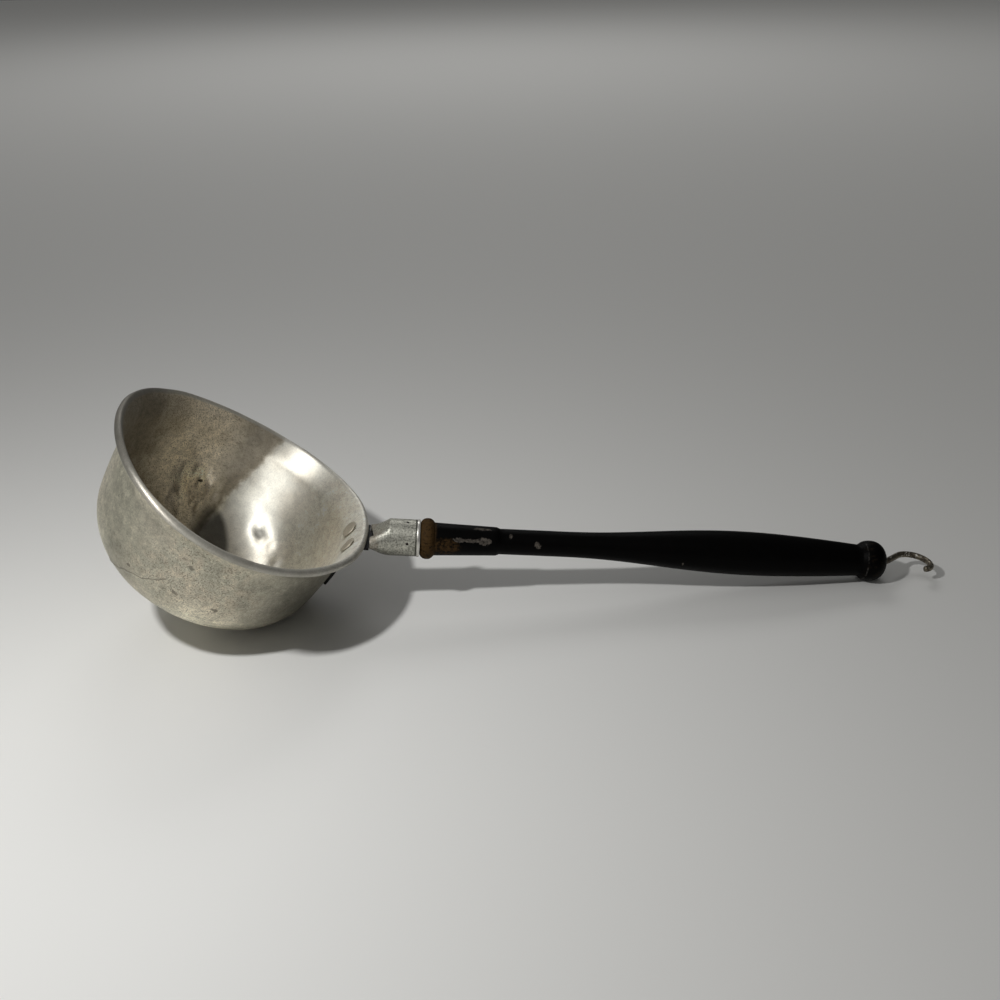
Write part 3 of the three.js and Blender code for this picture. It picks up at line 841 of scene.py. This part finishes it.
def black_iron():
    f = Finish("black_enamel_on_iron", BOWL)
    blotch = f.cloud(6, 4)
    grain = f.cloud(0.7, 3)
    worn = f.step(f.cloud(3.5, 5), 0.64, 0.72)
    f.surface(
        base_color=f.mix(0.6 * worn, f.mix(blotch, ENAMEL_DARK, ENAMEL_PALE), WORN_IRON),
        metallic=0.3 * worn,
        roughness=0.42 + 0.2 * blotch,
        specular_ior_level=0.25,
        normal=f.bump(0.6 * grain - 0.5 * worn, 0.08),
    )
    return f


def zinc_sheet():
    f = Finish("mottled_zinc", HANDLE)
    along = f.axis("X")
    blotch = f.cloud(3.5, 4)
    grain = f.cloud(0.8, 3, rough=0.7)
    from_end = (SOCKET_END - along) * (1 / END_LIP)
    lip = f.step(from_end, 1.05, 0.8)
    # Painted shade in the groove before the lip; the socket is also made darker towards its
    # underside
    groove = f.step(from_end, 1.7, 1.4) - lip
    low = f.step(f.axis("Z") + 5 * (blotch - 0.5), -3, -8)
    rust = f.step(f.cloud(4.5, 4) - 0.035 * (along - SOCKET_START), 0.3, 0.5)
    zinc = f.mix(f.step(grain, 0.3, 0.66), ZINC_DARK, ZINC_PALE)
    stained = f.mix(0.55 * rust, f.shade(zinc, 0.75 + 0.5 * blotch), ZINC_RUST)
    darkened_zinc = f.mix(f.most(0.7 * low, 0.8 * groove), stained, ZINC_DARKENED)
    f.surface(
        base_color=f.mix(0.85 * lip, darkened_zinc, ZINC_BRIGHT),
        metallic=0.8 - 0.3 * rust,
        roughness=0.42 + 0.1 * blotch - 0.14 * lip,
        normal=f.bump(0.8 * grain + 0.6 * blotch, 0.1),
    )
    return f


def brad_steel():
    f = Finish("rusted_brad", HANDLE)
    rust = f.cloud(0.6, 3)
    f.surface(
        base_color=f.mix(rust, BRAD_DARK, BRAD_RUST),
        metallic=0.3 * rust,
        roughness=0.6 + 0.2 * rust,
        normal=f.bump(rust, 0.08),
    )
    return f


class Chip(NamedTuple):
    """Where paint is gone from the handle: distance along, angle round, radius and half sizes."""
    along: float
    angle: float
    radius: float
    length: float
    width: float


CHIPS = [
    Chip(43, 152, 7.4, 3.2, 0.5),
    Chip(48.5, 153, 7.1, 4, 0.2),
    Chip(54.3, 153, 6.9, 2.7, 1.2),
    Chip(53, 101, 6.9, 4, 0.3),
    Chip(66.3, 124, 6.1, 0.8, 0.6),
    Chip(78.9, 157, 6.1, 1.5, 0.9),
    Chip(49, -60, 7.1, 4.0, 0.8),
    Chip(118, 20, 7.6, 1.8, 0.7),
    Chip(146.9, -165, 9.5, 0.5, 0.4),
    Chip(151, -40, 9.6, 1.2, 0.7),
]
CHIP_SPREAD = 0.6
WORN_COLLAR = (BEAD_END + 4.5, -7.2, -0.5)
WORN_COLLAR_SIZE = (6, 3.4, 4)


def chip_mask(f, chip):
    """Where one chip is, with a ragged edge."""
    angle = math.radians(chip.angle)
    centre = (chip.along, chip.radius * math.cos(angle), chip.radius * math.sin(angle))
    width = chip.width + CHIP_SPREAD
    return f.patch(centre, (chip.length, width, width), ragged=0.45, grain=1.1)


def black_paint():
    f = Finish("black_paint_on_wood", HANDLE)
    along = f.axis("X")
    blotch = f.cloud(7, 4)
    mottle = f.cloud(1.3, 4, rough=0.7)
    fibre = f.cloud(1, 4, f.stretched(0.05, 1.6, 1.6))
    bead = f.step(along, BEAD_END + 0.8, BEAD_END - 1.2)
    collar = f.patch(WORN_COLLAR, WORN_COLLAR_SIZE, ragged=0.3, grain=2, soft=0.3)
    bare = f.most(bead * f.step(mottle, 0.3, 0.5), 0.85 * collar * f.step(mottle, 0.35, 0.6))
    chips = chip_mask(f, CHIPS[0])
    for chip in CHIPS[1:]:
        chips = f.most(chips, chip_mask(f, chip))
    knob = f.step(along, KNOB_START, KNOB_START + KNOB_FLARE)
    rub = knob * f.step(f.cloud(1.4, 5, f.stretched(0.4, 1, 1)), 0.48, 0.75)
    off_line = along - (KNOB_START + KNOB_FLARE)
    line = f.step(off_line * off_line, 0.12, 0.02) * f.step(f.cloud(4), 0.38, 0.55)
    wood = f.mix(fibre, WOOD_DARK, WOOD_PALE)
    primer = f.mix(f.step(mottle, 0.3, 0.7), PRIMER_DARK, PRIMER_PALE)
    paint = f.mix(0.7 * rub, f.mix(blotch, PAINT_DARK, PAINT_PALE), PAINT_RUBBED)
    lined = f.mix(0.7 * line * f.step(mottle, 0.35, 0.55), paint, PAINT_LINE)
    relief = 0.5 * fibre + 0.3 * blotch + 0.3 * mottle * bead - 0.6 * chips - 0.3 * bare
    f.surface(
        base_color=f.mix(chips, f.mix(bare, lined, wood), primer),
        roughness=0.4 + 0.12 * blotch + 0.25 * f.most(chips, bare),
        specular_ior_level=0.05,
        normal=f.bump(relief, 0.14),
    )
    return f


def hook_steel():
    f = Finish("tarnished_wire", HANDLE)
    blotch = f.cloud(1.8, 4)
    grain = f.cloud(0.6, 3)
    rust = f.step(f.cloud(2.4, 4), 0.42, 0.56)
    # Bright spots: partly worn bare steel, partly painted glints
    worn_and_glinting = f.step(f.cloud(1.2, 3), 0.56, 0.68)
    tarnished = f.mix(0.85 * rust, f.mix(blotch, WIRE_DARK, WIRE_PALE), WIRE_RUST)
    f.surface(
        base_color=f.mix(0.85 * worn_and_glinting, tarnished, WIRE_BRIGHT),
        metallic=0.9 - 0.4 * rust,
        roughness=0.32 + 0.2 * rust,
        normal=f.bump(blotch + 0.5 * grain, 0.12),
    )
    return f


# Where the outside of the wall lies, before and after straining

OUTLINE = bowl_outline()


def true_wall_radius(height):
    """The outside of the true wall at a height below the flare."""
    for low, high in zip(OUTLINE[1:], OUTLINE[2:]):
        if low.y <= height <= high.y and high.y > low.y:
            middle = lerp(low.x, high.x, (height - low.y) / (high.y - low.y))
            return middle + (high - low).normalized().y * BOWL_SHEET / 2
    return RIM_RADIUS


def wall_outside(y, z):
    """How far from the axis towards the handle the strained wall is, at a place across and up."""
    azimuth = 0
    height = z
    for _ in range(WALL_ROUNDS):
        out, up = strain(azimuth, height)
        height = z - up
        radius = true_wall_radius(height) + out
        azimuth = math.asin(y / radius)
    return radius * math.cos(azimuth)


RIM_TOP = RIM_SADDLE
RIM_EDGE = RIM_RADIUS + strain(0, 0)[0]
AXIS_START = Vector((RIM_EDGE, RIM_TOP - AXIS_DROP))
AXIS_ALONG = Vector((math.cos(HANDLE_RISE), math.sin(HANDLE_RISE)))
BRACKET_SEAT = FIT_GAP + BRACKET_SHEET / 2


# Bowl

def make_bowl(outside, inside):
    points = [Vector((p.x, 0, p.y)) for p in OUTLINE]
    bm = lathe(points, (0, 0, 1), BOWL_SIDES)
    bm.normal_update()
    moves = {v: strained(v.co) + dent_depth(v.co) * v.normal for v in bm.verts}
    for vert, place in moves.items():
        vert.co = place
    made = piece("pressed_bowl", bm, BOWL, [outside, inside], "bowl")
    thicken(made, BOWL_SHEET, inner=1)
    settle(made)


# Bracket

def along_tongue(distance):
    """A point of the middle of the tongue, in the handle's plane."""
    start = AXIS_START + TONGUE_DROP * Vector((AXIS_ALONG.y, -AXIS_ALONG.x))
    return start + distance * AXIS_ALONG


def on_wall(height):
    """The middle of the plate at a height, where it lies on the wall."""
    rise = wall_outside(0, height + SLOPE_STEP) - wall_outside(0, height - SLOPE_STEP)
    seat = BRACKET_SEAT * math.hypot(1, rise / (2 * SLOPE_STEP))
    return Vector((wall_outside(0, height) + seat, height))


def bracket_corner():
    """Where the middle of the plate, carried on up the wall, meets the middle of the tongue."""
    corner = along_tongue(0)
    for _ in range(WALL_ROUNDS):
        back = on_wall(corner.y).x - along_tongue(0).x
        corner = along_tongue(back / AXIS_ALONG.x)
    return corner


def bracket_run():
    """The strap's middle line in the handle's plane, from the plate's foot to the tongue's end.

    It comes with the height of the plate's head, how far out the shoulder is, and the row where
    the tongue begins.
    """
    corner = bracket_corner()
    head = corner.y - BRACKET_BEND
    foot = RIM_TOP - PLATE_DROP
    plate = [on_wall(height) for height in [foot, *spaced(foot, head, steps=26)]]
    bend_end = corner + BRACKET_BEND * AXIS_ALONG
    shoulder = along_tongue(SOCKET_START - FIT_GAP)
    notch = shoulder + NOTCH_STEP * AXIS_ALONG
    bend = bezier([plate[-1], corner, bend_end], steps=6)
    strap = bezier([bend_end, shoulder], steps=6)
    tongue = [notch, *bezier([notch, along_tongue(CRIMP_END)], TONGUE_STEPS)]
    before = [*plate, *bend, *strap]
    return before + tongue, head, shoulder.x, len(before)


def bracket_half_width(drop, past_notch):
    """Half the strap's width, where its lower corners are round and the tongue is notched."""
    if past_notch:
        return TONGUE_WIDTH / 2
    inset = PLATE_CORNER - min(drop, PLATE_CORNER)
    return PLATE_WIDTH / 2 - PLATE_CORNER + math.sqrt(PLATE_CORNER ** 2 - inset ** 2)


def make_bracket(finish):
    run, head, shoulder, notch = bracket_run()
    last = len(run) - 1
    bm = bmesh.new()
    bmesh.ops.create_grid(bm, x_segments=last, y_segments=STRAP_STEPS, size=1)
    for vert in bm.verts:
        row = round((vert.co.x + 1) / 2 * last)
        point = run[row]
        y = vert.co.y * bracket_half_width(point.y - run[0].y, row >= notch)
        height = min(point.y, head)
        wrap = clamp((shoulder - point.x) / (shoulder - on_wall(height).x))
        bulge = wall_outside(y, height) - wall_outside(0, height)
        vert.co = Vector((point.x + wrap * bulge, y, point.y))
    bmesh.ops.recalc_face_normals(bm, faces=bm.faces)
    made = piece("iron_bracket", bm, BOWL, [finish], "handle_bracket")
    thicken(made, BRACKET_SHEET)
    soften(made, BRACKET_EDGE)
    settle(made)


# Rivets

def rivet_place(y):
    """Square to the wall where a rivet goes through it, with Z out of the bowl."""
    height = RIM_TOP - RIVET_DROP
    slope_up = wall_outside(y, height + SLOPE_STEP) - wall_outside(y, height - SLOPE_STEP)
    slope_across = wall_outside(y + SLOPE_STEP, height) - wall_outside(y - SLOPE_STEP, height)
    normal = Vector((2 * SLOPE_STEP, -slope_across, -slope_up)).normalized()
    spot = Vector((wall_outside(y, height), y, height))
    return Matrix.Translation(spot) @ normal.to_track_quat("Z", "Y").to_matrix().to_4x4()


def dome(radius, base, rise, steps=10):
    """Half the outline of a low head with a rounded edge, from its edge to its middle."""
    made = []
    for i in range(steps + 1):
        angle = QUARTER * i / steps
        out = radius * math.cos(angle) ** HEAD_ROUND
        made.append(Vector((out, 0, base + rise * math.sin(angle) ** HEAD_CROWN)))
    return made


def make_rivet(name, node, y, finish):
    inside = -BOWL_SHEET - FIT_GAP
    outside = BRACKET_SHEET + 2 * FIT_GAP
    head = dome(RIVET_HEAD, inside, -RIVET_HEAD_RISE)[::-1]
    shank = [Vector((RIVET_SHANK, 0, inside)), Vector((RIVET_SHANK, 0, outside))]
    tail = dome(RIVET_TAIL, outside, RIVET_TAIL_RISE)
    bm = lathe([*head, *shank, *tail], (0, 0, 1), RIVET_SIDES)
    for vert in bm.verts:
        vert.co += HAMMER_DEPTH * noise.noise_vector(vert.co / HAMMER_LENGTH + Vector((y, 0, 0)))
    piece(name, bm, BOWL @ rivet_place(y), [finish], node)


# Socket

TONGUE_SEAT = BRACKET_SHEET / 2 + FIT_GAP + SOCKET_SHEET / 2
MOUTH_CREASE_ACROSS = MOUTH_HALF_WIDTH * math.cos(MOUTH_CREASE_ANGLE)
LOBE_WIDTH = MOUTH_HALF_WIDTH + MOUTH_CREASE_ACROSS


def mouth_point(angle):
    """The crimped section at the mouth: a floor, and a flat facet with a crease and a lobe."""
    across = MOUTH_HALF_WIDTH * math.cos(angle)
    share = math.sin(angle)
    if share < 0:
        depth = TONGUE_DROP + TONGUE_SEAT + MOUTH_FLOOR_SLACK
        return Vector((across, -depth * math.sqrt(-share)))
    facet = (TONGUE_SEAT - TONGUE_DROP + FACET_SLACK) * share ** FACET_FULLNESS
    lobe = math.sin(math.pi * clamp((MOUTH_CREASE_ACROSS - across) / LOBE_WIDTH))
    return Vector((across, facet + LOBE_RISE * lobe ** LOBE_FULLNESS))


def crease_share(angle):
    """How much of the mouth's recess there is: all at the crease, none on the lobe or far side."""
    if math.sin(angle) < 0:
        return 0
    off = MOUTH_HALF_WIDTH * math.cos(angle) - MOUTH_CREASE_ACROSS
    reach = MOUTH_HALF_WIDTH - MOUTH_CREASE_ACROSS if off > 0 else LOBE_WIDTH / 2
    return max(0, 1 - abs(off) / reach)


def end_rise(x):
    """The rolled lip at the socket's end, and the groove that sets it off."""
    share = (x - SOCKET_END) / END_LIP + 1
    if share < 0:
        return -END_GROOVE * max(0, math.sin(math.pi * clamp(2 * share + 1)))
    return END_LIP_RISE * math.sin(math.pi * share)


def crimped(point):
    """Moves a point of the plain tube to where crimping, the brads and the end lip put it."""
    crimp = clamp((CRIMP_END - point.x) / CRIMP_LENGTH)
    angle = math.atan2(point.z, point.y)
    radius = SOCKET_RADIUS - SOCKET_SHEET / 2
    round_section = (radius + end_rise(point.x)) * Vector((math.cos(angle), math.sin(angle)))
    low = max(0, -math.sin(angle))
    section = round_section.lerp(mouth_point(angle), crimp ** (1 + MOUTH_FLOOR_EASE * low))
    recess = MOUTH_CREASE_RECESS * crease_share(angle) - LIP_REACH * low ** LIP_SHARPNESS
    moved = Vector((point.x + crimp * recess, section.x, section.y))
    for brad in (BRAD_TOP, BRAD_NEAR):
        spot = Vector((SOCKET_END - BRAD_INSET, radius * math.cos(brad), radius * math.sin(brad)))
        push = BRAD_DIMPLE * math.exp(-((moved - spot).length / BRAD_DIMPLE_SPREAD) ** 2)
        moved -= push * Vector((0, math.cos(brad), math.sin(brad)))
    return moved


def make_socket(finish):
    radius = SOCKET_RADIUS - SOCKET_SHEET / 2
    neck = SOCKET_END - 2 * END_LIP
    places = [
        SOCKET_END,
        *spaced(SOCKET_END, neck, steps=16),
        *spaced(neck, CRIMP_END, steps=22),
        *spaced(CRIMP_END, SOCKET_START, steps=24),
    ]
    bm = lathe([Vector((x, 0, radius)) for x in places], (1, 0, 0), SOCKET_SIDES)
    for vert in bm.verts:
        vert.co = crimped(vert.co)
    made = piece("zinc_socket", bm, HANDLE, [finish], "handle_socket")
    thicken(made, SOCKET_SHEET)
    soften(made, SOCKET_EDGE)
    settle(made)


def make_brad(name, node, angle, finish):
    """A brad driven into a dimple of the socket, with a slightly domed head."""
    edge = SOCKET_RADIUS - BRAD_DIMPLE + BRAD_PROUD
    points = [
        Vector((0, 0, SOCKET_RADIUS - BRAD_LENGTH)),
        Vector((BRAD_RADIUS, 0, SOCKET_RADIUS - BRAD_LENGTH)),
        *dome(BRAD_RADIUS, edge, BRAD_CROWN, steps=5),
    ]
    bm = lathe(points, (0, 0, 1), BRAD_SIDES)
    outward = Vector((0, math.cos(angle), math.sin(angle)))
    turn = outward.to_track_quat("Z", "X").to_matrix().to_4x4()
    place = Matrix.Translation((SOCKET_END - BRAD_INSET, 0, 0)) @ turn
    piece(name, bm, HANDLE @ place, [finish], node)


# Wooden handle

def bow(x):
    """How far the stick has bowed upwards between its bead and its knob."""
    share = clamp((x - BEAD_END) / (KNOB_START - BEAD_END))
    return GRIP_BOW * math.sin(math.pi * share)


def make_handle(finish):
    points = [Vector((p.x, 0, p.y)) for p in handle_outline()]
    bm = lathe(points, (1, 0, 0), HANDLE_SIDES)
    for vert in bm.verts:
        vert.co.z += bow(vert.co.x)
    piece("turned_handle", bm, HANDLE, [finish], "wooden_handle")


# Screw hook

def bend_wire(bm, loop, centre, angle, steps):
    """Carries a ring of edges round an arc in the hook's plane, and gives the ring at its end."""
    geom = loop + list(dict.fromkeys(v for edge in loop for v in edge.verts))
    turn = {"cent": (centre.x, centre.y, 0), "axis": (0, 0, 1), "angle": angle, "steps": steps}
    made = bmesh.ops.spin(bm, geom=geom, **turn)["geom_last"]
    return [e for e in made if isinstance(e, bmesh.types.BMEdge)]


def run_wire(bm, loop, move, steps):
    """Carries a ring of edges straight on, and gives the ring at its end."""
    for _ in range(steps):
        made = bmesh.ops.extrude_edge_only(bm, edges=loop)["geom"]
        verts = [v for v in made if isinstance(v, bmesh.types.BMVert)]
        bmesh.ops.translate(bm, verts=verts, vec=move / steps)
        edges = [e for e in made if isinstance(e, bmesh.types.BMEdge)]
        loop = [e for e in edges if all(v in verts for v in e.verts)]
    return loop


def make_hook(finish):
    bend_start = Vector((KNOB_END + SHANK_REACH, 0, 0))
    bend = bend_start + Vector((0, SHANK_BEND, 0))
    ring = Vector((KNOB_END + HOOK_REACH, 0, 0))
    span = ring - bend
    lead = math.asin((HOOK_RADIUS + SHANK_BEND) / span.length) + math.atan2(span.y, span.x)
    lead_length = math.sqrt(span.length_squared - (HOOK_RADIUS + SHANK_BEND) ** 2)
    inset = HOOK_RADIUS - TIP_RADIUS
    tip = ring + inset * Vector((math.cos(TIP_START), math.sin(TIP_START), 0))

    bm = bmesh.new()
    start = Matrix.Translation((KNOB_END - SHANK_LENGTH, 0, 0)) @ Matrix.Rotation(QUARTER, 4, "Y")
    bmesh.ops.create_circle(
        bm, cap_ends=True, segments=WIRE_SIDES, radius=WIRE_RADIUS, matrix=start
    )
    loop = run_wire(bm, list(bm.edges), Vector((SHANK_LENGTH + SHANK_REACH, 0, 0)), steps=6)
    loop = bend_wire(bm, loop, bend, lead, steps=8)
    straight = lead_length * Vector((math.cos(lead), math.sin(lead), 0))
    loop = run_wire(bm, loop, straight, steps=6)
    loop = bend_wire(bm, loop, ring, TIP_START - lead - QUARTER, steps=40)
    loop = bend_wire(bm, loop, tip, TIP_END - TIP_START, steps=18)
    bmesh.ops.edgeloop_fill(bm, edges=loop)
    bmesh.ops.bevel(
        bm, geom=loop, offset=TIP_BEVEL, segments=3, profile=0.5, affect="EDGES", material=-1
    )
    bmesh.ops.remove_doubles(bm, verts=bm.verts, dist=MERGE)
    bmesh.ops.recalc_face_normals(bm, faces=bm.faces)
    piece("wire_hook", bm, HANDLE, [finish], "screw_hook", body="hook")


# Stage

def make_floor():
    bm = bmesh.new()
    bmesh.ops.create_grid(bm, x_segments=1, y_segments=1, size=FLOOR_SIZE / 2)
    mesh = bpy.data.meshes.new("floor")
    bm.to_mesh(mesh)
    bm.free()
    finish = Finish("pale_floor", Matrix.Scale(MM, 4))
    finish.surface(base_color=FLOOR_COLOUR, roughness=0.6, specular_ior_level=0.2)
    mesh.materials.append(finish.material)
    floor = bpy.data.objects.new("floor", mesh)
    bpy.context.scene.collection.objects.link(floor)


def make_lamp(name, place, aim, size, power):
    lamp = bpy.data.lights.new(name, "AREA")
    lamp.shape = "DISK"
    lamp.size = size
    lamp.energy = power
    holder = bpy.data.objects.new(name, lamp)
    holder.location = place
    holder.rotation_euler = (aim - place).to_track_quat("-Z", "Y").to_euler()
    bpy.context.scene.collection.objects.link(holder)


def make_light():
    make_lamp("near_lamp", LAMP_PLACE, LAMP_AIM, LAMP_SIZE, LAMP_POWER)
    make_lamp("back_lamp", BACK_PLACE, BACK_AIM, BACK_SIZE, BACK_POWER)
    world = bpy.data.worlds.new("pale_room")
    world.use_nodes = True
    bpy.context.scene.world = world
    nodes = Nodes(world.node_tree)
    facing = nodes.node("ShaderNodeTexCoord", output="Generated")
    side = nodes.dot(facing, BRIGHT_SIDE.normalized())
    room = nodes.mix(nodes.step(side, *ROOM_TURN), ROOM_DARK, ROOM_BRIGHT)
    nodes.feed(world.node_tree.nodes["Background"], {"Color": room})


def make_camera():
    data = bpy.data.cameras.new("camera")
    data.lens = CAMERA_LENS
    data.sensor_width = SENSOR_WIDTH
    camera = bpy.data.objects.new("camera", data)
    back = CAMERA_RIGHT.cross(-CAMERA_DOWN)
    turn = Matrix((CAMERA_RIGHT, -CAMERA_DOWN, back)).transposed().to_4x4()
    camera.matrix_world = Matrix.Translation(CAMERA_PLACE) @ turn
    bpy.context.scene.collection.objects.link(camera)
    bpy.context.scene.camera = camera
    bpy.context.scene.view_settings.view_transform = "Standard"


make_camera()
make_floor()
make_light()
make_bowl(bowl_outside(), bowl_inside())
make_bracket(black_iron())
rivet_finish = rivet_metal()
make_rivet("rivet_far", "bowl_rivet_far", RIVET_SPACING / 2, rivet_finish)
make_rivet("rivet_near", "bowl_rivet_near", -RIVET_SPACING / 2, rivet_finish)
make_socket(zinc_sheet())
brad_finish = brad_steel()
make_brad("brad_top", "socket_brad_top", BRAD_TOP, brad_finish)
make_brad("brad_near", "socket_brad_near", BRAD_NEAR, brad_finish)
make_handle(black_paint())
make_hook(hook_steel())
